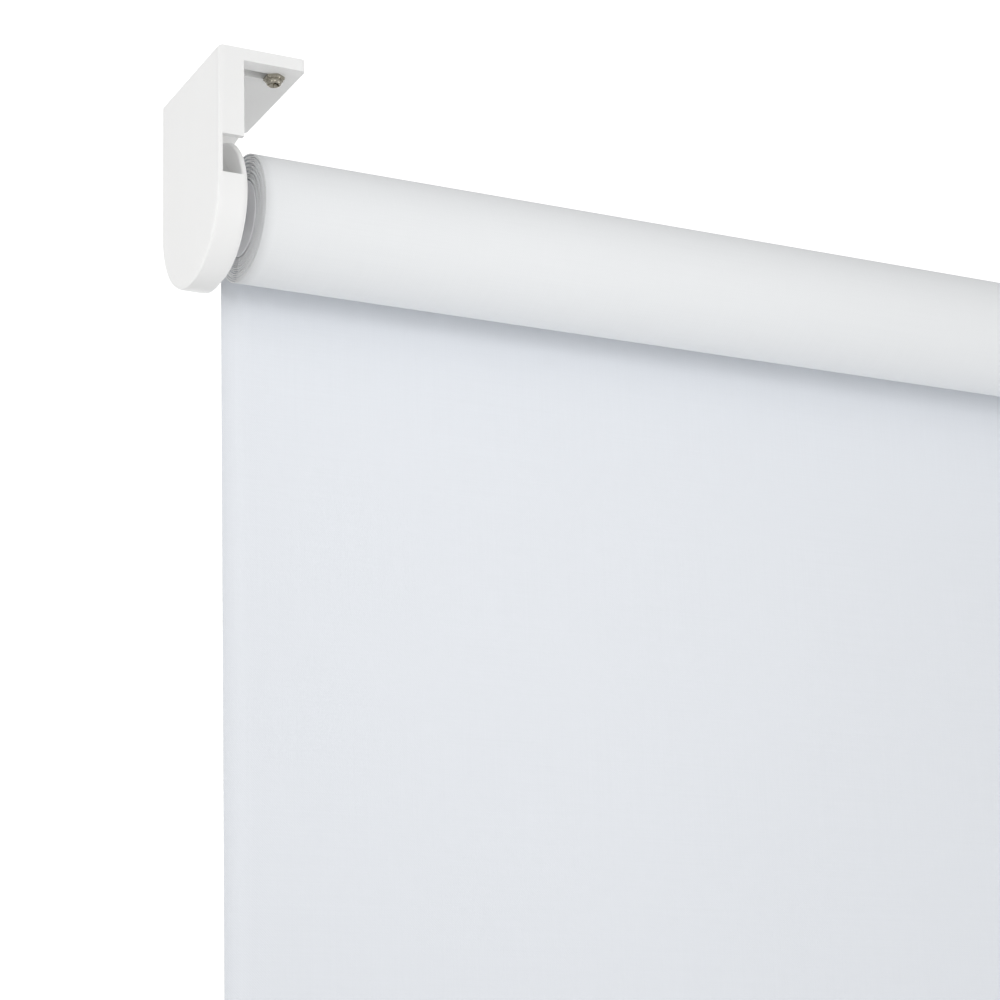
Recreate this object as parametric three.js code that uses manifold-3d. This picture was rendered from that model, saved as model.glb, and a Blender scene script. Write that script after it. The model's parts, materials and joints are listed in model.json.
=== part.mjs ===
// Spring-assisted roller blind: two ceiling brackets, a fabric roll on a tube with its spring
// mechanism inside, and the hanging fabric with its bottom rail.
// Millimetres, +Z up, X along the roller, +Y towards the wall.
// The origin is in the ceiling plane, midway between the brackets and above the roller's axis.
import * as THREE from "three";
import { mergeVertices } from "three/addons/utils/BufferGeometryUtils.js";
import Module from "manifold-3d";

const wasm = await Module();
wasm.setup();

// ---- Driving dimensions ----

const WIDTH = 600; // over the outer faces of both brackets
const AXIS_DROP = 48.4; // ceiling to roller axis
const GAP = 0.3; // clearance between pieces that touch on the real object

const BRACKET = {
  radius: 26.4, // half its depth, and its round lower end about the roller's axis
  thickness: 9.03,
  wall: 1.5, // outer side wall
  rim: 2.1, // front, back and round bottom walls
  edge: 1.4, // rounding of the outer face's edges
  plateThickness: 4.4,
  plateReach: 30.9,
  webThickness: 2.4,
  webFoot: 9.9, // height above the axis at which the slanting web meets the side
};
// The slots stop at a thin skin under the ceiling, which each screw is driven through.
const SLOT = { width: 4.4, from: 10.2, to: { front: 26.2, rear: 24.2 }, offset: 18.2, skin: 0.8 };
const WINDOW = { bottom: 3.5, top: 17 }; // release window in the front rim
const RIB = { face: 16.5, thickness: 1.5, reach: 8.6, top: 2 }; // hold the flange's block
const FLANGE = { radius: 24, from: 9.33, to: 11.2, blockWidth: 29.4, blockHeight: 15.4 };
const SCREW = { shank: 1.9, hex: 3.6, hexHeight: 1.2, dome: 2.5, height: 2.8 };
const SCREW_PLACES = { front: [22.9, -18.4], rear: [21.4, 18.2] };

const FABRIC = { margin: 18.7, thickness: 0.5, rollRadius: 21.5, drop: 700 };
const TUBE = { radius: 13, bore: 11.5, margin: 19.2 };
const PLUG_RADIUS = TUBE.bore - GAP;
const PLUG_FACE = 18.1; // outer face of the end plugs' flanges
const PIN = { radius: 3.5, collar: 6, tail: 2.4 };
const SPINDLE = 6.6; // across the flats of the square shaft
const SHAFT_CLEARANCE = 5.2; // bore radius that turns freely round the square shaft

const HEM = { height: 28.4, depth: 5.8, wall: 1 };
const RAIL = { length: 555, height: 22, thickness: 3 };
const HANDLE = { width: 70, screwSpacing: 44 };

const UNDERSIDE = AXIS_DROP - BRACKET.plateThickness; // of the ceiling plate, above the axis
const HALF_FABRIC = WIDTH / 2 - FABRIC.margin;
const SHEET_Y = FABRIC.rollRadius + FABRIC.thickness / 2; // middle of the hanging sheet
const HEM_Z = -FABRIC.drop - GAP - HEM.height / 2;

// ---- Materials ----

const material = (color, roughness, metalness = 0) => ({ color, roughness, metalness });
const WHITE_PLASTIC = material(0xf2f2f0, 0.45);
const GREY_PLASTIC = material(0xc9cacc, 0.5);
const STEEL = material(0xb4b0a6, 0.35, 0.9);
const SPRING_STEEL = material(0x8f9296, 0.4, 0.9);
const ALUMINIUM = material(0xd0d2d5, 0.4, 0.8);
const CLOTH = material(0xe6e8ec, 0.9);
const TAPE = material(0xe8e4d8, 0.8);

// ---- Shape helpers; lengths along X count from a bracket's outer face ----

const LEFT = -WIDTH / 2;
const WIRE_SIDES = 5; // a coil's wire is drawn as a pentagon
const YZ_TO_X = new THREE.Matrix4().set(0, 0, 1, 0, 1, 0, 0, 0, 0, 1, 0, 0, 0, 0, 0, 1);
const XZ_TO_Y = new THREE.Matrix4().set(1, 0, 0, 0, 0, 0, -1, 0, 0, 1, 0, 0, 0, 0, 0, 1);

function block(x, y, z) {
  return new THREE.BoxGeometry(x[1] - x[0], y[1] - y[0], z[1] - z[0]).translate(
    (x[0] + x[1]) / 2,
    (y[0] + y[1]) / 2,
    (z[0] + z[1]) / 2,
  );
}

// A profile of [radius, x] points turned about the roller's axis.
function turned(profile, segments = 32) {
  const points = profile.map(([radius, x]) => new THREE.Vector2(radius, x));
  return new THREE.LatheGeometry(points, segments).rotateZ(-Math.PI / 2);
}

function ring(inner, outer, from, to, segments) {
  const profile = [
    [inner, from],
    [outer, from],
    [outer, to],
    [inner, to],
    [inner, from],
  ];
  return turned(profile, segments);
}

function outline(points) {
  return new THREE.Shape(points.map(([a, b]) => new THREE.Vector2(a, b)));
}

function prism(shape, length, bevel = 0, curveSegments = 12, bevelSegments = 1) {
  return new THREE.ExtrudeGeometry(shape, {
    depth: length - 2 * bevel,
    curveSegments,
    bevelEnabled: bevel > 0,
    bevelThickness: bevel,
    bevelSize: bevel,
    bevelOffset: -bevel,
    bevelSegments,
  }).translate(0, 0, bevel);
}

// A slot with round ends, standing on the XY plane, its centre line along X.
function slotPrism(from, to, width, length) {
  const r = width / 2;
  const shape = new THREE.Shape();
  shape.absarc(to - r, 0, r, -Math.PI / 2, Math.PI / 2, false);
  shape.absarc(from + r, 0, r, Math.PI / 2, (3 * Math.PI) / 2, false);
  return prism(shape, length, 0, 8);
}

// A coil of round wire about the roller's axis.
function coil(radius, wire, from, to, turns, stepsPerTurn) {
  const steps = turns * stepsPerTurn;
  const points = Array.from({ length: steps + 1 }, (_, i) => {
    const angle = (2 * Math.PI * i) / stepsPerTurn;
    const x = from + wire + ((to - from - 2 * wire) * i) / steps;
    return new THREE.Vector3(x, radius * Math.cos(angle), radius * Math.sin(angle));
  });
  const corners = Array.from({ length: WIRE_SIDES }, (_, i) => (2 * Math.PI * i) / WIRE_SIDES);
  const section = outline(corners.map((a) => [(wire / 2) * Math.cos(a), (wire / 2) * Math.sin(a)]));
  return new THREE.ExtrudeGeometry(section, {
    steps,
    bevelEnabled: false,
    extrudePath: new THREE.CatmullRomCurve3(points),
  });
}

function solid(geometry) {
  const flat = geometry.index ? geometry.toNonIndexed() : geometry;
  const bare = new THREE.BufferGeometry().setAttribute("position", flat.getAttribute("position"));
  const merged = mergeVertices(bare, 1e-4);
  const vertProperties = merged.attributes.position.array;
  const triVerts = new Uint32Array(merged.index.array);
  return new wasm.Manifold(new wasm.Mesh({ numProp: 3, vertProperties, triVerts }));
}

function geometryOf(manifold) {
  const { vertProperties, triVerts } = manifold.getMesh();
  const geometry = new THREE.BufferGeometry();
  geometry.setAttribute("position", new THREE.BufferAttribute(vertProperties, 3));
  geometry.setIndex(new THREE.BufferAttribute(triVerts, 1));
  geometry.computeVertexNormals();
  return geometry;
}

function joined(...geometries) {
  return geometryOf(geometries.map(solid).reduce((whole, next) => whole.add(next)));
}

function cut(base, ...tools) {
  return geometryOf(tools.map(solid).reduce((rest, tool) => rest.subtract(tool), solid(base)));
}

// ---- The assembly ----

const part = new THREE.Group();
part.name = "roller_blind";
const aboutAxis = new THREE.Group(); // everything is drawn from the roller's axis
aboutAxis.position.z = -AXIS_DROP;
part.add(aboutAxis);

function place(name, geometry, look) {
  const mesh = new THREE.Mesh(geometry, new THREE.MeshStandardMaterial(look));
  mesh.name = name;
  aboutAxis.add(mesh);
  return mesh;
}

// Puts a piece drawn from x = 0 at the left end, or mirrored at the right end.
function placeAtEnd(side, name, geometry, look) {
  const mesh = place(`${name}_${side}`, geometry, look);
  mesh.position.x = side === "left" ? LEFT : -LEFT;
  mesh.scale.x = side === "left" ? 1 : -1;
}

// ---- Brackets ----

// The side's outline in Y and Z: square at the ceiling, round about the roller's axis.
function sideOutline(inset, top) {
  const radius = BRACKET.radius - inset;
  const shape = new THREE.Shape();
  shape.absarc(0, 0, radius, Math.PI, 2 * Math.PI, false);
  shape.lineTo(radius, top);
  shape.lineTo(-radius, top);
  return shape;
}

function bracketShell() {
  const { radius, thickness, wall, rim, edge } = BRACKET;
  const length = thickness + 2 * edge;
  const full = prism(sideOutline(0, AXIS_DROP), length, edge, 26, 2).applyMatrix4(YZ_TO_X);
  const beyond = block([thickness, 2 * thickness], [-2 * radius, 2 * radius], [-60, 60]);
  const hollow = prism(sideOutline(rim, UNDERSIDE), thickness, 0, 20).applyMatrix4(YZ_TO_X);
  return cut(full, beyond, hollow.translate(wall, 0, 0));
}

function ceilingPlate() {
  const { radius, plateReach, plateThickness } = BRACKET;
  const corner = 1.5;
  const shape = new THREE.Shape();
  shape.moveTo(4, -radius);
  shape.lineTo(plateReach - corner, -radius);
  shape.absarc(plateReach - corner, corner - radius, corner, -Math.PI / 2, 0, false);
  shape.absarc(plateReach - corner, radius - corner, corner, 0, Math.PI / 2, false);
  shape.lineTo(4, radius);
  return prism(shape, plateThickness, 0, 4).translate(0, 0, UNDERSIDE);
}

// The slanting web stands in the wall plane and ties the plate to the side.
function backWeb() {
  const { radius, thickness, plateReach, webThickness, webFoot } = BRACKET;
  const shape = outline([
    [5, webFoot],
    [thickness, webFoot],
    [plateReach - 1.7, UNDERSIDE],
    [plateReach - 1.7, UNDERSIDE + 1],
    [5, UNDERSIDE + 1],
  ]);
  return prism(shape, webThickness).applyMatrix4(XZ_TO_Y).translate(0, radius, 0);
}

function innerRib(direction) {
  const { face, thickness, reach, top } = RIB;
  const y = [direction * face, direction * (face - thickness)].sort((a, b) => a - b);
  return block([BRACKET.wall - 0.5, reach], y, [-19, top]);
}

function bracket() {
  const { radius, rim, wall, thickness } = BRACKET;
  const floor = -FLANGE.blockHeight / 2 - GAP;
  const seat = block([wall - 0.5, RIB.reach], [-RIB.face, RIB.face], [floor - RIB.thickness, floor]);
  const body = joined(bracketShell(), ceilingPlate(), backWeb(), innerRib(-1), innerRib(1), seat);
  const window = block(
    [wall, thickness + 1],
    [-radius - 1, -radius + rim + 0.5],
    [WINDOW.bottom, WINDOW.top],
  );
  const depth = BRACKET.plateThickness - SLOT.skin;
  const slots = ["front", "rear"].flatMap((row) => {
    const [x, y] = SCREW_PLACES[row];
    const middle = Math.sign(y) * SLOT.offset;
    const r = SCREW.shank + GAP;
    const slot = slotPrism(SLOT.from, SLOT.to[row], SLOT.width, depth + 1);
    const hole = slotPrism(x - r, x + r, 2 * r, BRACKET.plateThickness + 2);
    return [slot.translate(0, middle, UNDERSIDE - 1), hole.translate(0, y, UNDERSIDE - 1)];
  });
  const wallSlot = slotPrism(11.5, 20.5, SLOT.width, BRACKET.webThickness + 2)
    .applyMatrix4(XZ_TO_Y)
    .translate(0, radius + 1, UNDERSIDE - 8.6);
  return cut(body, window, wallSlot, ...slots);
}

// ---- End flanges: a disc that covers the bracket, on a block that sits between its ribs ----

function flange(boreTool) {
  const { radius, from, to, blockWidth, blockHeight } = FLANGE;
  const disc = turned(
    [
      [0, from],
      [radius - 0.4, from],
      [radius, from + 0.4],
      [radius, to - 0.4],
      [radius - 0.4, to],
      [6, to],
      [6, to + 1.6],
      [0, to + 1.6],
    ],
    56,
  );
  const y = [-blockWidth / 2, blockWidth / 2];
  const z = [-blockHeight / 2, blockHeight / 2];
  return cut(joined(disc, block([BRACKET.wall + GAP, from + 0.5], y, z)), boreTool);
}

// ---- Mounting screws: hexagon flanges with a round cross-recessed head, heads down ----

function mountingScrew() {
  const { shank, hex, hexHeight, dome, height } = SCREW;
  const cylinder = (r, from, to, sides) =>
    new THREE.CylinderGeometry(r, r, to - from, sides)
      .rotateX(Math.PI / 2)
      .translate(0, 0, (from + to) / 2);
  const seat = UNDERSIDE - 0.05;
  const tip = seat - height;
  const body = joined(
    cylinder(shank, seat - 0.2, AXIS_DROP - 0.2, 20),
    cylinder(hex, seat - hexHeight, seat, 6),
    cylinder(dome, tip, seat - 0.2, 24),
  );
  const arm = (x, y) => block([-x, x], [-y, y], [tip - 1, tip + 1.3]);
  return cut(body, arm(1.8, 0.45), arm(0.45, 1.8));
}

function placeEnds() {
  const roundBore = turned([[0, 0], [PIN.radius + GAP, 0], [PIN.radius + GAP, 20], [0, 20]], 28);
  const half = SPINDLE / 2 + GAP;
  const squareBore = block([0, 20], [-half, half], [-half, half]);
  const bores = { left: roundBore, right: squareBore };
  for (const side of ["left", "right"]) {
    placeAtEnd(side, "bracket", bracket(), WHITE_PLASTIC);
    placeAtEnd(side, "end_flange", flange(bores[side]), WHITE_PLASTIC);
    for (const [row, [x, y]] of Object.entries(SCREW_PLACES)) {
      placeAtEnd(side, `screw_${row}`, mountingScrew().translate(x, y, 0), STEEL);
    }
  }
}

// ---- Idle end: a sprung pin in a plug that turns with the tube ----

function placeIdleEnd() {
  const pin = turned([
    [0, 4],
    [PIN.radius - 0.8, 4],
    [PIN.radius, 4.8],
    [PIN.radius, 21.5],
    [PIN.collar, 21.5],
    [PIN.collar, 23.5],
    [PIN.tail, 23.5],
    [PIN.tail, 40],
    [0, 40],
  ], 28);
  const bore = PIN.radius + GAP;
  const cavity = PIN.collar + 0.5;
  const plug = turned([
    [bore, PLUG_FACE],
    [TUBE.radius - 0.1, PLUG_FACE],
    [TUBE.radius - 0.1, 18.9],
    [PLUG_RADIUS, 18.9],
    [PLUG_RADIUS, 54],
    [cavity, 54],
    [cavity, 21.2],
    [bore, 21.2],
    [bore, PLUG_FACE],
  ]);
  const springSeat = turned([
    [0, 50.5],
    [cavity - GAP, 50.5],
    [cavity - GAP, 54],
    [0, 54],
  ], 28);
  const spring = coil(4.3, 0.9, 23.7, 50.3, 7, 10);
  placeAlong("left", "idle_pin", pin, STEEL);
  placeAlong("left", "idle_plug", plug, GREY_PLASTIC);
  placeAlong("left", "spring_seat", springSeat, GREY_PLASTIC);
  placeAlong("left", "pin_spring", spring, SPRING_STEEL);
}

// Puts a piece drawn from x = 0 at one end without adding the side to its name.
function placeAlong(side, name, geometry, look) {
  const mesh = place(name, geometry, look);
  mesh.position.x = side === "left" ? LEFT : -LEFT;
  mesh.scale.x = side === "left" ? 1 : -1;
}

// ---- Drive end: square shaft held by the right flange, lift spring and brake round it ----

function shaftRing(radius, from, to) {
  const half = SPINDLE / 2 + GAP;
  const body = turned([[0, from], [radius, from], [radius, to], [0, to]]);
  return cut(body, block([from - 1, to + 1], [-half, half], [-half, half]));
}

function placeDriveEnd() {
  const half = SPINDLE / 2;
  const drivePlug = turned([
    [SHAFT_CLEARANCE, PLUG_FACE],
    [TUBE.radius - 0.1, PLUG_FACE],
    [TUBE.radius - 0.1, 18.9],
    [PLUG_RADIUS, 18.9],
    [PLUG_RADIUS, 44],
    [SHAFT_CLEARANCE, 44],
    [SHAFT_CLEARANCE, PLUG_FACE],
  ]);
  placeAlong("right", "spindle", block([3, 196], [-half, half], [-half, half]), STEEL);
  placeAlong("right", "drive_plug", drivePlug, GREY_PLASTIC);
  placeAlong("right", "brake_drum", shaftRing(8.4, 50, 74), STEEL);
  placeAlong("right", "brake_wrap_spring", coil(9.2, 0.9, 52, 72, 6, 12), SPRING_STEEL);
  placeAlong("right", "brake_shell", ring(10.2, PLUG_RADIUS, 48, 76), GREY_PLASTIC);
  placeAlong("right", "spring_carrier", ring(SHAFT_CLEARANCE, PLUG_RADIUS, 78, 84), GREY_PLASTIC);
  placeAlong("right", "lift_spring", coil(8, 1.2, 84.3, 175.7, 16, 10), SPRING_STEEL);
  placeAlong("right", "spring_anchor", shaftRing(10.6, 176, 190), GREY_PLASTIC);
}

// ---- Tube and the fabric wound on it ----

function fixingTape() {
  const inner = TUBE.radius + 0.12;
  const outer = TUBE.radius + 0.35;
  const shape = new THREE.Shape();
  shape.absarc(0, 0, outer, 0, 0.9, false);
  shape.absarc(0, 0, inner, 0.9, 0, true);
  return prism(shape, 2 * HALF_FABRIC - 4, 0, 8)
    .applyMatrix4(YZ_TO_X)
    .translate(2 - HALF_FABRIC, 0, 0);
}

function placeRoller() {
  const halfTube = WIDTH / 2 - TUBE.margin;
  place("roller_tube", ring(TUBE.bore, TUBE.radius, -halfTube, halfTube, 40), ALUMINIUM);
  place("fixing_tape", fixingTape(), TAPE);
  const outer = FABRIC.rollRadius - GAP;
  place("fabric_roll", ring(TUBE.radius + 0.6, outer, -HALF_FABRIC, HALF_FABRIC, 64), CLOTH);
}

// ---- Hanging fabric and bottom rail ----

function roundedRectangle(width, height, radius) {
  const a = width / 2 - radius;
  const b = height / 2 - radius;
  const shape = new THREE.Shape();
  shape.absarc(a, -b, radius, -Math.PI / 2, 0, false);
  shape.absarc(a, b, radius, 0, Math.PI / 2, false);
  shape.absarc(-a, b, radius, Math.PI / 2, Math.PI, false);
  shape.absarc(-a, -b, radius, Math.PI, (3 * Math.PI) / 2, false);
  return shape;
}

// A cylinder along Y at the handle's screw positions.
function crossPins(radius, y, sides = 16) {
  return [-1, 1].map((side) =>
    new THREE.CylinderGeometry(radius, radius, y[1] - y[0], sides).translate(
      (side * HANDLE.screwSpacing) / 2,
      (y[0] + y[1]) / 2,
      HEM_Z,
    ),
  );
}

function placeHem() {
  const half = HALF_FABRIC;
  const front = SHEET_Y - HEM.depth / 2;
  const sleeve = prism(roundedRectangle(HEM.depth, HEM.height, 2.4), 2 * half, 0, 5);
  const inside = roundedRectangle(HEM.depth - 2 * HEM.wall, HEM.height - 2 * HEM.wall, 1.4);
  const pocket = prism(inside, 2 * half + 4, 0, 3).translate(0, 0, -2);
  const hem = cut(sleeve, pocket).applyMatrix4(YZ_TO_X).translate(-half, SHEET_Y, HEM_Z);
  const frontHoles = crossPins(1.7, [front - 1, front + HEM.wall + 0.4]);
  place("hem_pocket", cut(hem, ...frontHoles), CLOTH);
}

function placeRail() {
  const { length, height, thickness } = RAIL;
  const y = [SHEET_Y - thickness / 2, SHEET_Y + thickness / 2];
  const z = [HEM_Z - height / 2, HEM_Z + height / 2];
  const bar = block([-length / 2, length / 2], y, z);
  place("bottom_rail", cut(bar, ...crossPins(1.7, [y[0] - 1, y[1] + 1])), STEEL);
  const cover = prism(roundedRectangle(HEM.depth + 0.6, HEM.height + 0.6, 2.6), 2, 0.5, 5)
    .applyMatrix4(YZ_TO_X)
    .translate(-HALF_FABRIC - 2.3, SHEET_Y, HEM_Z);
  const tongue = block([-HALF_FABRIC - 0.8, -length / 2 - GAP], y, [z[0] + 1, z[1] - 1]);
  const cap = joined(cover, tongue);
  place("rail_cap_left", cap, WHITE_PLASTIC);
  place("rail_cap_right", cap, WHITE_PLASTIC).scale.x = -1;
}

// The handle is a plate against the hem with a lip below it that curves towards the hand.
function placeHandle() {
  const back = SHEET_Y - HEM.depth / 2 - GAP;
  const front = back - 2;
  const foot = HEM_Z - HEM.height / 2;
  const shape = outline([
    [back, HEM_Z + 11],
    [front, HEM_Z + 11],
    [front, foot - 1],
    [front - 2, foot - 4.5],
    [front - 6.5, foot - 6.5],
    [front - 9.5, foot - 6],
    [front - 9, foot - 7.8],
    [front - 6, foot - 8.8],
    [front - 1, foot - 7.6],
    [back, foot - 3.5],
  ]);
  const plate = prism(shape, HANDLE.width, 0.5)
    .applyMatrix4(YZ_TO_X)
    .translate(-HANDLE.width / 2, 0, 0);
  place("pull_handle", cut(plate, ...crossPins(1.7, [front - 1, back + 1])), WHITE_PLASTIC);
  const heads = crossPins(2.9, [front - GAP - 1.3, front - GAP + 0.01], 20);
  const shanks = crossPins(1.4, [front - GAP, SHEET_Y + 1.2]);
  ["left", "right"].forEach((side, i) => {
    const x = ((i * 2 - 1) * HANDLE.screwSpacing) / 2;
    const tip = front - GAP - 2;
    const slot = block([x - 2, x + 2], [tip, tip + 1.3], [HEM_Z - 0.35, HEM_Z + 0.35]);
    place(`handle_screw_${side}`, cut(joined(heads[i], shanks[i]), slot), STEEL);
  });
}

function placeDrop() {
  const y = [FABRIC.rollRadius, FABRIC.rollRadius + FABRIC.thickness];
  place("fabric_drop", block([-HALF_FABRIC, HALF_FABRIC], y, [-FABRIC.drop, 0]), CLOTH);
}

placeEnds();
placeIdleEnd();
placeDriveEnd();
placeRoller();
placeDrop();
placeHem();
placeRail();
placeHandle();

export default part;
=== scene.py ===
"""The looks of a cordless roller blind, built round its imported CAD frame.

Metres, in the frame's axes: X along the roller, Y towards the wall, Z up, origin in the ceiling plane.
"""

import json
import math

import bmesh
import bpy
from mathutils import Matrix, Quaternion, Vector

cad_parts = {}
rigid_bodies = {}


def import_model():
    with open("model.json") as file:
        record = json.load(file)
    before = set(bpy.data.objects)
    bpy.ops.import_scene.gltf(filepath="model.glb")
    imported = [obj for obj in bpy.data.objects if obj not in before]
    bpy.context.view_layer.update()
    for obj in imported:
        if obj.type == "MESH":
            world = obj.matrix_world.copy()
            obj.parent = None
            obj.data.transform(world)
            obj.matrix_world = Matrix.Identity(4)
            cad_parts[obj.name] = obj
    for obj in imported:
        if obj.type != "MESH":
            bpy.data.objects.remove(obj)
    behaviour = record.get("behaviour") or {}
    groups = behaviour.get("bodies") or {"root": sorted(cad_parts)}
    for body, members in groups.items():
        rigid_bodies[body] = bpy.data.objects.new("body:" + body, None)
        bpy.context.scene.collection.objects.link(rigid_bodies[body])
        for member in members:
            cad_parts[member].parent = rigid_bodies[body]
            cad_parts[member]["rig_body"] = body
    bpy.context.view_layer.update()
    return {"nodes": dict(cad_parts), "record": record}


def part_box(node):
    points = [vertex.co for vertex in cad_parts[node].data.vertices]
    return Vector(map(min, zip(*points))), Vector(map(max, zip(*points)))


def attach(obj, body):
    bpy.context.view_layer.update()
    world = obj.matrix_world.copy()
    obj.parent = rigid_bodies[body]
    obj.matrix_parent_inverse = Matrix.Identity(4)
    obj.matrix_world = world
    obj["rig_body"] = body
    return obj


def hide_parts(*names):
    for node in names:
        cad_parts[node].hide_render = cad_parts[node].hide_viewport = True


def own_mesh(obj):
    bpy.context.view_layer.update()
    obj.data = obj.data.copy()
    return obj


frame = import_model()

MM = 0.001

# ---- Sizes read from the frame ----

behaviour = frame["record"]["behaviour"]
joints = {joint["name"]: joint for joint in behaviour["joints"]}
ROLL_RADIUS = behaviour["couplings"][0]["ratio"]  # fabric wound per radian
AXIS_Z = joints["roller_turn"]["pos_m"][2]
drop_low, drop_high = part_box("fabric_drop")
HALF_FABRIC = drop_high.x
DROP_END = drop_low.z
TUBE_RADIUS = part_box("roller_tube")[1].y
rail_low, rail_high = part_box("bottom_rail")
RAIL_CENTRE = (rail_low + rail_high) / 2
RAIL_THICKNESS = rail_high.y - rail_low.y

# ---- Fabric ----

CLOTH = 0.44 * MM  # thickness
WINDING_PITCH = 0.65 * MM  # from one turn to the next
THREAD = 0.42 * MM  # from one thread to the next
CLOTH_Y = (drop_low.y + drop_high.y) / 2  # middle of the hanging fabric
HANGING_INSET = 1.2 * MM  # the hanging fabric has run this far in from the roll's ends
SELVEDGE = 4 * MM  # the width at each end of the roll over which its turns shift
STEPS_PER_TURN = 80


# ---- Camera ----

CAMERA_PLACE = Vector((-0.5814, -0.7436, -0.3861))
CAMERA_YAW = math.radians(27.855)  # turned from +Y towards +X
CAMERA_PITCH = math.radians(16.56)  # looking up
CAMERA_ROLL = math.radians(-2.076)
LENS_MM = 93.4
SENSOR_MM = 36
CLIP_START = 10 * MM


def add_camera():
    data = bpy.data.cameras.new("camera")
    data.sensor_width = SENSOR_MM
    data.lens = LENS_MM
    data.clip_start = CLIP_START
    camera = bpy.data.objects.new("camera", data)
    bpy.context.scene.collection.objects.link(camera)
    level = math.cos(CAMERA_PITCH)
    forward = Vector(
        (
            math.sin(CAMERA_YAW) * level,
            math.cos(CAMERA_YAW) * level,
            math.sin(CAMERA_PITCH),
        )
    )
    camera.location = CAMERA_PLACE
    camera.rotation_mode = "QUATERNION"
    tilt = Quaternion((0, 0, 1), CAMERA_ROLL)
    camera.rotation_quaternion = forward.to_track_quat("-Z", "Y") @ tilt
    bpy.context.scene.camera = camera


# ---- Light and stage ----

BACKGROUND = 1.3  # seen directly, so that the backdrop is plain white
SKY_ABOVE = 0.42  # light from all round: from straight above,
SKY_LEVEL = 0.88  # from the sides,
SKY_BELOW = 0.3  # and from below
FLOOR_Z = -1.6
FLOOR_REACH = 30  # from the middle to a side
FLOOR_COLOUR = (0.9, 0.9, 0.895)


def add_world():
    """White to the camera; to the blind, a soft sky that differs from top to bottom."""
    world = bpy.data.worlds.new("studio")
    world.use_nodes = True
    bpy.context.scene.world = world
    tree = world.node_tree
    tree.nodes.clear()
    direction = add_node(tree, "TexCoord").outputs["Generated"]
    height = add_node(tree, "SeparateXYZ", {"Vector": direction}).outputs["Z"]
    up = math_node(tree, "MAXIMUM", height)
    down = math_node(tree, "MAXIMUM", math_node(tree, "MULTIPLY", height, -1.0))
    above = math_node(tree, "MULTIPLY", up, SKY_ABOVE - SKY_LEVEL)
    below = math_node(tree, "MULTIPLY", down, SKY_BELOW - SKY_LEVEL)
    sky = math_node(tree, "ADD", math_node(tree, "ADD", above, below), SKY_LEVEL)
    white = (1, 1, 1, 1)
    ambient = add_node(tree, "Background", {"Color": white, "Strength": sky})
    seen = add_node(tree, "Background", {"Color": white, "Strength": BACKGROUND})
    direct = add_node(tree, "LightPath").outputs["Is Camera Ray"]
    mix = add_node(
        tree, "MixShader", {0: direct, 1: ambient.outputs[0], 2: seen.outputs[0]}
    )
    add_node(tree, "OutputWorld", {"Surface": mix.outputs[0]})


# name: where it hangs, what it points at, width and height, watts
SOFTBOXES = {
    "left": ((-2.6, -0.7, -0.1), (-0.2, 0, -0.25), 2.2, 1.8, 19),
    "right_low": ((2.2, -1.6, -0.7), (0.1, 0, -0.3), 1.6, 1.2, 14),
    "back": ((0.9, 2.4, 0.3), (0, 0, -0.3), 2.4, 1.8, 16),
}

# A wide soft spot lights the fabric a little more near its upper left.
GLOW_PLACE = (-0.45, -1.15, -0.12)
GLOW_TARGET = (-0.2, 0.02, -0.14)
GLOW_ANGLE = math.radians(33)
GLOW_RADIUS = 0.2
GLOW_WATTS = 9.5


def add_lamp(name, light, place, target):
    lamp = bpy.data.objects.new(name, light)
    lamp.location = place
    lamp.rotation_mode = "QUATERNION"
    towards = Vector(target) - Vector(place)
    lamp.rotation_quaternion = towards.to_track_quat("-Z", "Y")
    bpy.context.scene.collection.objects.link(lamp)


def add_softboxes():
    for name, (place, target, width, height, watts) in SOFTBOXES.items():
        light = bpy.data.lights.new(name, "AREA")
        light.shape = "RECTANGLE"
        light.size = width
        light.size_y = height
        light.energy = watts
        add_lamp(name, light, place, target)


def add_glow():
    light = bpy.data.lights.new("glow", "SPOT")
    light.spot_size = GLOW_ANGLE
    light.spot_blend = 1
    light.shadow_soft_size = GLOW_RADIUS
    light.energy = GLOW_WATTS
    add_lamp("glow", light, GLOW_PLACE, GLOW_TARGET)


def add_floor(material):
    mesh = bpy.data.meshes.new("floor")
    corners = [(-1, -1), (1, -1), (1, 1), (-1, 1)]
    points = [(x * FLOOR_REACH, y * FLOOR_REACH, FLOOR_Z) for x, y in corners]
    mesh.from_pydata(points, [], [(0, 1, 2, 3)])
    mesh.materials.append(material)
    floor = bpy.data.objects.new("floor", mesh)
    bpy.context.scene.collection.objects.link(floor)


def set_colour_management():
    view = bpy.context.scene.view_settings
    view.view_transform = "Standard"
    view.look = "None"
    view.exposure = 0
    view.gamma = 1


# ---- Material helpers ----


def new_material(name, surface):
    """A material whose principled shader starts with these plain values."""
    material = bpy.data.materials.new(name)
    material.use_nodes = True
    shader = material.node_tree.nodes["Principled BSDF"]
    for socket, value in surface.items():
        shader.inputs[socket].default_value = value
    return material, material.node_tree, shader


def add_node(tree, kind, inputs=None, **settings):
    made = tree.nodes.new("ShaderNode" + kind)
    for name, value in settings.items():
        setattr(made, name, value)
    for key, value in (inputs or {}).items():
        if isinstance(value, bpy.types.NodeSocket):
            tree.links.new(value, made.inputs[key])
        else:
            made.inputs[key].default_value = value
    return made


def math_node(tree, operation, first, second=0.0):
    inputs = {0: first, 1: second}
    return add_node(tree, "Math", inputs, operation=operation).outputs[0]


def noise(tree, vector, scale, detail):
    inputs = {"Vector": vector, "Scale": scale, "Detail": detail}
    return add_node(tree, "TexNoise", inputs).outputs[0]


def stretched(tree, vector, scale):
    inputs = {"Vector": vector, "Scale": scale}
    return add_node(tree, "Mapping", inputs).outputs["Vector"]


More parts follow.
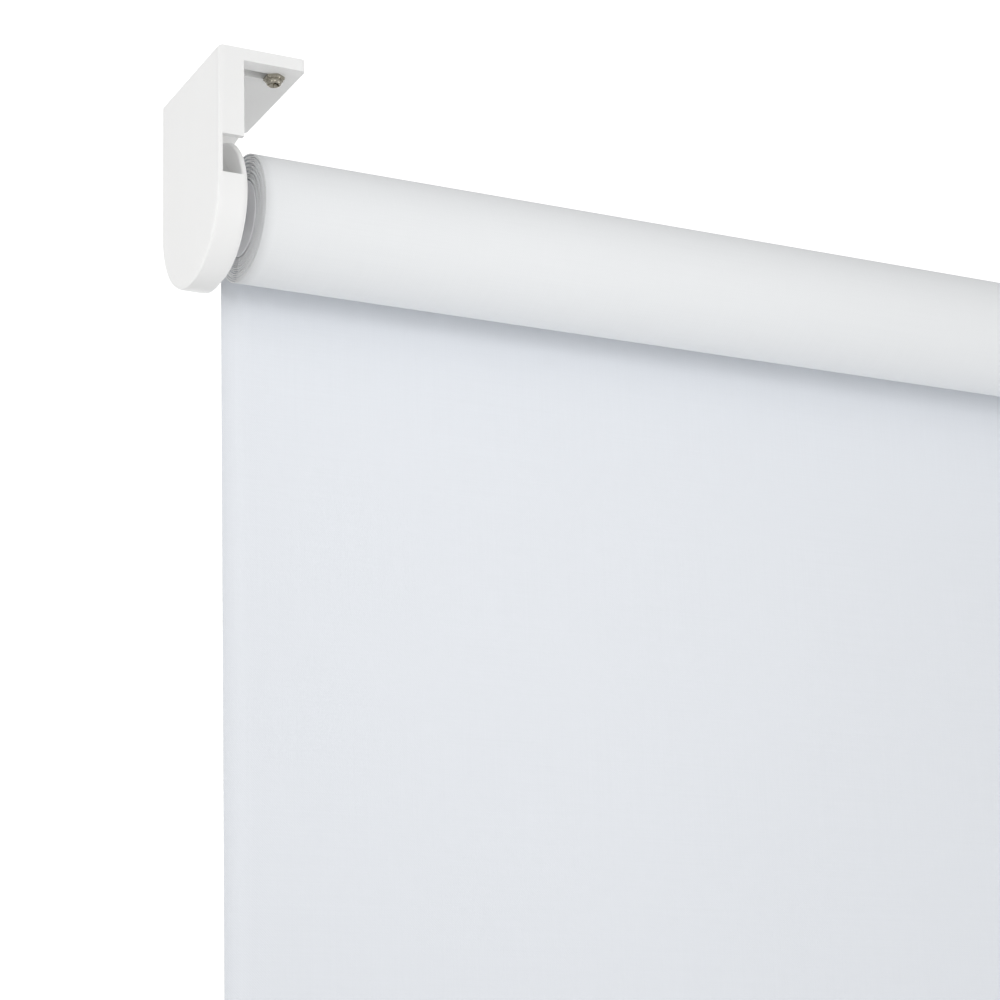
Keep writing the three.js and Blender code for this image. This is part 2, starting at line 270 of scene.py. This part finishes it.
def between(tree, factor, low, high):
    """A value that runs from low to high as factor runs from 0 to 1."""
    inputs = {"Value": factor, "To Min": low, "To Max": high}
    return add_node(tree, "MapRange", inputs).outputs["Result"]


def varied_colour(tree, factor, colour, contrast):
    """The colour made a little darker and lighter by factor, round its mean."""
    stops = add_node(tree, "ValToRGB", {"Fac": factor})
    low, high = stops.color_ramp.elements
    low.position, high.position = 0.25, 0.75
    low.color = [c * (1 - contrast) for c in colour] + [1]
    high.color = [min(1, c * (1 + contrast)) for c in colour] + [1]
    return stops.outputs["Color"]


def bump_surface(tree, shader, height, strength, distance):
    inputs = {"Height": height, "Strength": strength, "Distance": distance}
    bump = add_node(tree, "Bump", inputs)
    tree.links.new(bump.outputs["Normal"], shader.inputs["Normal"])


def object_place(tree):
    return add_node(tree, "TexCoord").outputs["Object"]


def moulded_plastic(name, colour, roughness):
    """Injection moulded plastic with a fine spark-eroded grain and faint flow marks."""
    material, tree, shader = new_material(name, {"IOR": 1.49})
    place = object_place(tree)
    flow = noise(tree, stretched(tree, place, (60, 60, 18)), 1.0, 3)
    grain = noise(tree, place, 2200, 3)
    tree.links.new(varied_colour(tree, flow, colour, 0.012), shader.inputs["Base Color"])
    rough = between(tree, grain, roughness - 0.05, roughness + 0.06)
    tree.links.new(rough, shader.inputs["Roughness"])
    bump_surface(tree, shader, grain, 0.12, 0.03 * MM)
    return material


def worked_metal(name, colour, roughness, lay, depth=0.15):
    """Drawn or turned metal, with fine marks that run across the largest number in lay."""
    material, tree, shader = new_material(name, {"Metallic": 1.0})
    place = object_place(tree)
    marks = noise(tree, stretched(tree, place, lay), 1.0, 4)
    patches = noise(tree, place, 350, 3)
    tree.links.new(varied_colour(tree, patches, colour, 0.08), shader.inputs["Base Color"])
    rough = between(tree, patches, roughness - 0.06, roughness + 0.12)
    tree.links.new(rough, shader.inputs["Roughness"])
    bump_surface(tree, shader, marks, depth, 0.01 * MM)
    return material


def woven_fabric(name, colour):
    """Coated plain weave. The mesh's UV is in metres along and across the threads."""
    surface = {"Sheen Weight": 0.12, "Sheen Roughness": 0.5, "Specular IOR Level": 0.25}
    material, tree, shader = new_material(name, surface)
    flat = add_node(tree, "TexCoord").outputs["UV"]
    split = add_node(tree, "SeparateXYZ", {"Vector": flat})
    phase = math.pi / THREAD  # half a wave to a thread, over one and under the next
    across, along = (
        math_node(tree, "SINE", math_node(tree, "MULTIPLY", split.outputs[axis], phase))
        for axis in ("X", "Y")
    )
    weave = math_node(tree, "MULTIPLY", across, along)
    per_thread = 1 / THREAD
    per_slub = 14
    warp = noise(tree, stretched(tree, flat, (per_thread, per_slub, 1)), 1.0, 2)
    weft = noise(tree, stretched(tree, flat, (per_slub, per_thread, 1)), 1.0, 2)
    slubs = math_node(tree, "MULTIPLY", math_node(tree, "ADD", warp, weft), 0.5)
    cloud = noise(tree, flat, 9, 3)
    fine = math_node(tree, "MULTIPLY", slubs, 0.7)
    broad = math_node(tree, "MULTIPLY", cloud, 0.3)
    tone = math_node(tree, "ADD", fine, broad)
    tree.links.new(varied_colour(tree, tone, colour, 0.02), shader.inputs["Base Color"])
    tree.links.new(between(tree, slubs, 0.78, 0.95), shader.inputs["Roughness"])
    height = math_node(tree, "ADD", weave, math_node(tree, "MULTIPLY", slubs, 2.0))
    bump_surface(tree, shader, height, 0.35, 0.02 * MM)
    return material


def cut_edge(name, colour):
    """The cut edge of the fabric, with its ends of thread."""
    material, tree, shader = new_material(name, {"Roughness": 0.95})
    fibres = noise(tree, object_place(tree), 4500, 3)
    tree.links.new(varied_colour(tree, fibres, colour, 0.12), shader.inputs["Base Color"])
    bump_surface(tree, shader, fibres, 0.5, 0.08 * MM)
    return material


def stage_material():
    """Plain matt white from above, and clear from below, so that it hides nothing."""
    material, tree, shader = new_material("studio_floor", {"Roughness": 0.8})
    mottle = noise(tree, object_place(tree), 3, 3)
    colour = varied_colour(tree, mottle, FLOOR_COLOUR, 0.01)
    tree.links.new(colour, shader.inputs["Base Color"])
    clear = add_node(tree, "BsdfTransparent")
    side = add_node(tree, "NewGeometry").outputs["Backfacing"]
    mix = add_node(tree, "MixShader", {0: side, 1: shader.outputs[0], 2: clear.outputs[0]})
    output = tree.nodes["Material Output"]
    tree.links.new(mix.outputs[0], output.inputs["Surface"])
    return material


WHITE_PLASTIC = moulded_plastic("white_plastic", (0.94, 0.94, 0.935), 0.42)
GREY_PLASTIC = moulded_plastic("grey_plastic", (0.90, 0.90, 0.92), 0.48)
NICKEL = worked_metal("nickel", (0.40, 0.375, 0.315), 0.16, (900, 900, 4000))
BRIGHT_STEEL = worked_metal("bright_steel", (0.66, 0.67, 0.69), 0.3, (40, 3000, 3000))
SPRING_STEEL = worked_metal("spring_steel", (0.42, 0.43, 0.46), 0.32, (700, 2500, 2500))
ALUMINIUM = worked_metal("mill_aluminium", (0.82, 0.83, 0.84), 0.34, (30, 3500, 3500))
ROOM_SIDE = woven_fabric("fabric_room_side", (0.822, 0.848, 0.89))
WINDOW_SIDE = woven_fabric("fabric_window_side", (0.878, 0.892, 0.905))
CUT_EDGE = cut_edge("fabric_cut_edge", (0.94, 0.945, 0.955))
TAPE = cut_edge("adhesive_tape", (0.78, 0.74, 0.62))
THREAD_WHITE = cut_edge("sewing_thread", (0.86, 0.87, 0.88))
FABRIC_LOOKS = [ROOM_SIDE, WINDOW_SIDE, CUT_EDGE]
ROOM_LOOK, WINDOW_LOOK, EDGE_LOOK = range(3)  # places in FABRIC_LOOKS


# ---- Mesh helpers ----


def add_object(name, mesh, materials):
    for material in materials:
        mesh.materials.append(material)
    made = bpy.data.objects.new(name, mesh)
    bpy.context.scene.collection.objects.link(made)
    return made


def smooth(mesh):
    for polygon in mesh.polygons:
        polygon.use_smooth = True


SHARP_ANGLE = math.radians(32)
WELD = 0.002 * MM  # points closer than this are one point


def write_clean(source, mesh, weld=None):
    """Writes source's shape to mesh, with its close points joined and its faces turned outward."""
    shape = bmesh.new()
    shape.from_mesh(source)
    if weld:
        bmesh.ops.remove_doubles(shape, verts=shape.verts, dist=weld)
    bmesh.ops.recalc_face_normals(shape, faces=shape.faces)
    shape.to_mesh(mesh)
    shape.free()


def round_edges(piece, width):
    """Rounds the piece's sharp edges, and keeps its flat faces looking flat."""
    bevel = piece.modifiers.new("rounded_edges", "BEVEL")
    bevel.width = width
    bevel.segments = 3
    bevel.limit_method = "ANGLE"
    bevel.angle_limit = SHARP_ANGLE
    bevel.miter_outer = "MITER_ARC"
    normals = piece.modifiers.new("flat_faces", "WEIGHTED_NORMAL")
    normals.weight = 90
    normals.keep_sharp = False


def refined(node, material, edge=None):
    """The CAD node's shape with its close points joined, and rounded edges if edge is given, in its
    place.
    """
    name = f"{node}_piece"
    mesh = bpy.data.meshes.new(name)
    write_clean(frame["nodes"][node].data, mesh, WELD)
    smooth(mesh)
    piece = add_object(name, mesh, [material])
    if edge:
        round_edges(piece, edge)
    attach(piece, frame["nodes"][node]["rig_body"])
    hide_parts(node)
    return piece


def lofted(name, rings, materials):
    """A closed mesh through rings of points; each ring has the same number of points."""
    mesh = bpy.data.meshes.new(name)
    count = len(rings[0])
    points = [point for ring in rings for point in ring]
    faces = []
    for i in range(len(rings) - 1):
        for j in range(count):
            k = (j + 1) % count
            first, second = i * count, (i + 1) * count
            faces.append((first + j, first + k, second + k, second + j))
    faces.append(tuple(range(count)))
    faces.append(tuple(range((len(rings) - 1) * count, len(rings) * count)))
    mesh.from_pydata(points, [], faces)
    write_clean(mesh, mesh, WELD / 4)
    smooth(mesh)
    return add_object(name, mesh, materials)


def carve(piece, cutter):
    """Cuts the cutter's shape out of the piece's mesh, then removes the cutter."""
    cut = piece.modifiers.new("cut", "BOOLEAN")
    cut.operation = "DIFFERENCE"
    cut.solver = "EXACT"
    cut.object = cutter
    bpy.context.view_layer.update()
    shown = piece.evaluated_get(bpy.context.evaluated_depsgraph_get())
    carved = bpy.data.meshes.new_from_object(shown)
    piece.modifiers.remove(cut)
    piece.data = carved
    bpy.data.objects.remove(cutter)


# ---- Fabric sheets ----


def even_columns(count):
    return [2 * i / count - 1 for i in range(count + 1)]


def sheet_faces(stations, width):
    """The quads of a closed sheet, and each one's place in FABRIC_LOOKS.

    A station is a row of points on the room side, then one on the window side, width points each.
    """
    faces, looks = [], []

    def quad(a, b, c, d, look):
        faces.append((a, b, c, d))
        looks.append(look)

    for i in range(stations - 1):
        here, there = 2 * width * i, 2 * width * (i + 1)
        for j in range(width - 1):
            quad(here + j, here + j + 1, there + j + 1, there + j, ROOM_LOOK)
            far, next_far = here + width + j, there + width + j
            quad(far, next_far, next_far + 1, far + 1, WINDOW_LOOK)
        for j in (0, width - 1):
            quad(here + j, there + j, there + width + j, here + width + j, EDGE_LOOK)
    for start in (0, 2 * width * (stations - 1)):
        for j in range(width - 1):
            a = start + j
            quad(a, a + 1, a + width + 1, a + width, EDGE_LOOK)
    return faces, looks


def fabric_sheet(name, path, columns):
    """A closed sheet that follows path across its length and columns across its width.

    A path station is (y, z, normal towards the window side, distance along, overhang);
    a column is from -1 at the left selvedge to 1 at the right one.
    """
    points, flat = [], []
    for y, z, normal, distance, overhang in path:
        for face in (-CLOTH / 2, CLOTH / 2):
            for column in columns:
                x = column * (HALF_FABRIC + (overhang if abs(column) == 1 else 0))
                points.append((x, y + normal[0] * face, z + normal[1] * face))
                flat.append((x, distance))
    faces, looks = sheet_faces(len(path), len(columns))
    mesh = bpy.data.meshes.new(name)
    mesh.from_pydata(points, [], faces)
    mesh.polygons.foreach_set("material_index", looks)
    layer = mesh.uv_layers.new(name="cloth")
    for loop in mesh.loops:
        layer.data[loop.index].uv = flat[loop.vertex_index]
    write_clean(mesh, mesh)
    for polygon in mesh.polygons:
        polygon.use_smooth = polygon.material_index != EDGE_LOOK
    return add_object(name, mesh, FABRIC_LOOKS)


def selvedge_offset(turn):
    """How far a turn of the roll stands out of line with the next at its ends."""
    wander = 0.16 * math.sin(1.7 * turn + 0.6) + 0.1 * math.sin(4.1 * turn)
    step = 0.26 * math.sin(math.pi * turn + 0.8) + 0.07 * math.sin(9.3 * turn)
    return (wander + step) * MM - HANGING_INSET * math.exp(-((turn / 0.28) ** 2))


def add_wound_fabric():
    """A spiral from the hanging fabric in to the tube, with its turns out of line."""
    turns = int((ROLL_RADIUS - TUBE_RADIUS) / WINDING_PITCH)
    path = []
    length = 0.0
    for i in range(turns * STEPS_PER_TURN + 1):
        turn = i / STEPS_PER_TURN
        angle = 2 * math.pi * turn
        radius = CLOTH_Y - WINDING_PITCH * turn
        normal = (math.cos(angle), math.sin(angle))
        y, z = radius * normal[0], AXIS_Z + radius * normal[1]
        path.append((y, z, normal, length, selvedge_offset(turn)))
        length += 2 * math.pi * radius / STEPS_PER_TURN
    inset = 1 - SELVEDGE / HALF_FABRIC
    columns = [-1, -inset, -0.5, 0, 0.5, inset, 1]
    roll = fabric_sheet("wound_fabric", path, columns)
    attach(roll, "roller")
    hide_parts("fabric_roll")
    return roll


def ripple(x, down):
    """How far the hanging fabric strays from its plane; down is 0 at its top, 1 at its end."""
    swell = math.sin(math.pi * min(1, max(0, down))) ** 2
    wave = math.sin(x * 21 + down * 2.2) + 0.5 * math.sin(x * 47 - down * 5)
    curl = (x / HALF_FABRIC) ** 8  # of the two long edges, towards the room
    return swell * (0.35 * wave - 0.5 * curl) * MM


def add_hanging_fabric():
    """Hangs from the back of the roll."""
    length = AXIS_Z - DROP_END
    rows = 70
    path = []
    for i in range(rows + 1):
        down = length * i / rows
        path.append((CLOTH_Y, AXIS_Z - down, (1, 0), -down, selvedge_offset(0)))
    sheet = fabric_sheet("hanging_fabric", path, even_columns(56))
    for vertex in sheet.data.vertices:
        vertex.co.y += ripple(vertex.co.x, (AXIS_Z - vertex.co.z) / length)
    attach(sheet, "brackets")
    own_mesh(sheet)
    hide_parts("fabric_drop")


# The hem runs down the rail's room side, round its lower edge and up behind it.
HEM_TAIL = 4 * MM  # of the back layer, above where the two layers meet
HEM_MEET = 14.5 * MM  # above the middle of the rail
HEM_FLAT = 11.2 * MM  # the hem's sides are flat this far above and below the middle
HEM_EASE = 0.2 * MM  # between the rail and the fabric
LAYER_GAP = 0.02 * MM  # between the hem's two layers


def hem_section():
    """Points (y, z) of the middle of the cloth, from the hanging fabric round to the tail."""
    middle, bottom = RAIL_CENTRE.y, RAIL_CENTRE.z - HEM_FLAT
    reach = RAIL_THICKNESS / 2 + HEM_EASE + CLOTH / 2
    shoulder = RAIL_CENTRE.z + HEM_FLAT
    top = RAIL_CENTRE.z + HEM_MEET
    tail_y = CLOTH_Y + CLOTH + LAYER_GAP

    def eased(y_from, y_to, z_from, z_to, count=8):
        shares = [i / count for i in range(count + 1)]
        ease = [t * t * (3 - 2 * t) for t in shares]
        return [
            (y_from + (y_to - y_from) * e, z_from + (z_to - z_from) * t)
            for t, e in zip(shares, ease)
        ]

    def straight(y, z_from, z_to, count=10):
        return [(y, z_from + (z_to - z_from) * i / count) for i in range(1, count)]

    turn = [math.pi * i / 14 for i in range(15)]
    around = [(middle - reach * math.cos(a), bottom - reach * math.sin(a)) for a in turn]
    down = eased(CLOTH_Y, middle - reach, top, shoulder)
    up = eased(middle + reach, tail_y, shoulder, top)
    front = straight(middle - reach, shoulder, bottom)
    back = straight(middle + reach, bottom, shoulder)
    tail = [(tail_y, top + HEM_TAIL * i / 3) for i in (1, 2, 3)]
    return down + front + around + back + up + tail


def add_hem():
    """The loop of fabric round the bottom rail."""
    section = hem_section()
    path = []
    distance = 0.0
    for i, (y, z) in enumerate(section):
        before = section[max(i - 1, 0)]
        after = section[min(i + 1, len(section) - 1)]
        along = Vector((after[0] - before[0], after[1] - before[1])).normalized()
        path.append((y, z, (-along.y, along.x), distance, 0.0))
        if i + 1 < len(section):
            distance += math.dist(section[i], section[i + 1])
    hem = fabric_sheet("hem", path, even_columns(40))
    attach(hem, "bottom_bar")
    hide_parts("hem_pocket")


STITCH_PITCH = 3 * MM
STITCH_LENGTH = 2.3 * MM
STITCH_RADIUS = 0.17 * MM
STITCH_SIDES = 6
STITCH_END_MARGIN = 3 * MM  # left free of stitches at each end
STITCH_HEIGHT = 1.5 * MM  # above where the layers meet
STITCH_PROUD = 0.05 * MM
STITCH_SHAPE = [(0, 0.1), (0.12, 0.75), (0.5, 1), (0.88, 0.75), (1, 0.1)]  # along, radius


def stitch(start, y, z, first_point):
    """Points and faces of one spindle-shaped stitch that runs along X from start."""
    points, faces = [], []
    for share, size in STITCH_SHAPE:
        for k in range(STITCH_SIDES):
            angle = 2 * math.pi * k / STITCH_SIDES
            x = start + STITCH_LENGTH * share
            across = STITCH_RADIUS * size * math.cos(angle)
            up = STITCH_RADIUS * size * math.sin(angle)
            points.append((x, y + across, z + up))
    for ring in range(len(STITCH_SHAPE) - 1):
        base = first_point + ring * STITCH_SIDES
        for k in range(STITCH_SIDES):
            a, b = base + k, base + (k + 1) % STITCH_SIDES
            faces.append((a, a + STITCH_SIDES, b + STITCH_SIDES, b))
    last = first_point + (len(STITCH_SHAPE) - 1) * STITCH_SIDES
    faces.append(tuple(first_point + k for k in range(STITCH_SIDES)))
    faces.append(tuple(last + k for k in reversed(range(STITCH_SIDES))))
    return points, faces


def add_hem_stitches():
    """One row of lockstitch through both layers, seen on the room side and behind."""
    count = int(2 * (HALF_FABRIC - STITCH_END_MARGIN) / STITCH_PITCH)
    z = RAIL_CENTRE.z + HEM_MEET + STITCH_HEIGHT
    room_side = CLOTH_Y - CLOTH / 2 - STITCH_PROUD
    back_side = CLOTH_Y + 1.5 * CLOTH + STITCH_PROUD + LAYER_GAP
    points, faces = [], []
    for y in (room_side, back_side):
        for i in range(count):
            start = (i - count / 2) * STITCH_PITCH
            more_points, more_faces = stitch(start, y, z, len(points))
            points += more_points
            faces += more_faces
    mesh = bpy.data.meshes.new("hem_stitches")
    mesh.from_pydata(points, [], faces)
    smooth(mesh)
    stitches = add_object("hem_stitches", mesh, [THREAD_WHITE])
    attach(stitches, "bottom_bar")


# ---- Screws ----

HEAD_HEIGHT = 2.8 * MM
HEX_RADIUS = 3.6 * MM  # to a corner
HEX_HEIGHT = 1.2 * MM
HEX_CHAMFER = 0.3 * MM
HEX_FACE_RADIUS = 3.1 * MM
SEAT_RADIUS = 3.35 * MM
DOME_RADIUS = 2.5 * MM
NECK_RADIUS = 1.5 * MM
THREAD_PITCH = 1.2 * MM
THREAD_START = 0.6 * MM  # above the seat
THREAD_ROOT = 1.45 * MM
THREAD_CREST = 1.8 * MM
TIP_RADIUS = 1.3 * MM
RECESS_WIDTH = 0.95 * MM
RECESS_REACH = 1.75 * MM
RECESS_DEPTH = 1.6 * MM
RECESS_START = 0.5 * MM  # above the rim of the dished face
CRISP_ANGLE = math.radians(28)

# The head's dished face, from its middle out and up to the dome's edge: height, radius.
DISHED_FACE_MM = [
    (0.75, 0.01),
    (0.65, 1.2),
    (0.35, 1.6),
    (0.06, 1.8),
    (0.0, 1.98),
    (0.1, 2.24),
    (0.32, 2.42),
    (0.6, 2.5),
]


def hex_radius(angle, corner_radius):
    """Distance to a hexagon's edge; its corners point along Y."""
    side = math.pi / 3
    from_flat = (angle + side / 2) % side - side / 2
    return corner_radius * math.cos(side / 2) / math.cos(from_flat)


def screw_ring(z, corner_radius, round_limit, count=72):
    """A ring of the screw head: a hexagon, trimmed by a circle where that is smaller."""
    ring = []
    for i in range(count):
        angle = 2 * math.pi * i / count
        reach = min(hex_radius(angle, corner_radius), round_limit)
        ring.append((reach * math.cos(angle), reach * math.sin(angle), z))
    return ring


def recess_cutter(start):
    """A cross like a driver's tip, which tapers upwards from a little below start."""
    rings = []
    for z, size in ((start - RECESS_START, 1.15), (start, 1.0), (start + RECESS_DEPTH, 0.45)):
        w, r = RECESS_WIDTH * size / 2, RECESS_REACH * size
        cross = [(r, -w), (r, w), (w, w), (w, r), (-w, r), (-w, w)]
        cross += [(-r, w), (-r, -w), (-w, -w), (-w, -r), (w, -r), (w, -w)]
        rings.append([(x, y, z) for x, y in cross])
    return lofted("recess_cutter", rings, [])


def screw_head_rings(tip, seat):
    flange = seat - HEX_HEIGHT
    rings = [
        screw_ring(tip + height * MM, HEX_RADIUS, radius * MM)
        for height, radius in DISHED_FACE_MM
    ]
    outline = [
        (flange - 0.12 * MM, DOME_RADIUS),
        (flange, DOME_RADIUS + 0.1 * MM),
        (flange, HEX_FACE_RADIUS),
        (flange + HEX_CHAMFER, HEX_RADIUS),
        (seat - 0.1 * MM, HEX_RADIUS),
        (seat, SEAT_RADIUS),
        (seat, NECK_RADIUS),
    ]
    rings += [screw_ring(z, HEX_RADIUS, radius) for z, radius in outline]
    return rings


def screw_thread_rings(seat, top):
    """Ridges up the shank; the shares of a pitch are where a ridge starts and ends."""
    rings = []
    z = seat + THREAD_START
    ridge = [(0, THREAD_ROOT), (0.25, THREAD_CREST), (0.35, THREAD_CREST), (0.65, THREAD_ROOT)]
    while z + THREAD_PITCH < top:
        for share, radius in ridge:
            rings.append(screw_ring(z + share * THREAD_PITCH, HEX_RADIUS, radius))
        z += THREAD_PITCH
    rings.append(screw_ring(top, HEX_RADIUS, TIP_RADIUS))
    return rings


def add_mounting_screw(node):
    """A hexagon flange, a round head with a dished face and a cross recess, and a thread."""
    low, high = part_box(node)
    centre = (low + high) / 2
    tip = low.z
    seat = tip + HEAD_HEIGHT
    rings = screw_head_rings(tip, seat) + screw_thread_rings(seat, high.z)
    screw = lofted(f"{node}_piece", rings, [NICKEL])
    carve(screw, recess_cutter(tip + RECESS_START))
    for vertex in screw.data.vertices:
        vertex.co += Vector((centre.x, centre.y, 0))
    smooth(screw.data)
    sharpen = screw.modifiers.new("crisp_facets", "EDGE_SPLIT")
    sharpen.split_angle = CRISP_ANGLE
    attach(screw, "brackets")
    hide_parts(node)


# ---- Carried-over CAD nodes ----


def dress(node, material):
    """A CAD node that keeps its shape and gets this material."""
    mesh = frame["nodes"][node].data
    mesh.materials.clear()
    mesh.materials.append(material)


def add_pin_spring():
    """The pin's spring, in spring steel, on a mesh of its own."""
    spring = refined("pin_spring", SPRING_STEEL)
    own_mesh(spring)


GREY_PLASTIC_NODES = [
    "idle_plug",
    "drive_plug",
    "spring_seat",
    "spring_carrier",
    "spring_anchor",
    "brake_shell",
]


def add_hardware():
    """The hard pieces, each with its material and the rounding of its edges."""
    for side in ("left", "right"):
        refined(f"bracket_{side}", WHITE_PLASTIC, 0.8 * MM)
        refined(f"end_flange_{side}", WHITE_PLASTIC, 0.2 * MM)
        refined(f"rail_cap_{side}", WHITE_PLASTIC, 0.25 * MM)
        refined(f"handle_screw_{side}", NICKEL, 0.12 * MM)
        for row in ("front", "rear"):
            add_mounting_screw(f"screw_{row}_{side}")
    refined("pull_handle", WHITE_PLASTIC, 0.4 * MM)
    for node in GREY_PLASTIC_NODES:
        refined(node, GREY_PLASTIC, 0.2 * MM)
    for node in ("idle_pin", "spindle", "brake_drum"):
        refined(node, BRIGHT_STEEL, 0.15 * MM)
    refined("bottom_rail", BRIGHT_STEEL, 0.3 * MM)
    refined("roller_tube", ALUMINIUM, 0.2 * MM)
    add_pin_spring()
    dress("lift_spring", SPRING_STEEL)
    dress("brake_wrap_spring", SPRING_STEEL)
    dress("fixing_tape", TAPE)


add_camera()
set_colour_management()
add_world()
add_softboxes()
add_glow()
add_floor(stage_material())
add_hardware()
wound = add_wound_fabric()
add_hanging_fabric()
add_hem()
add_hem_stitches()
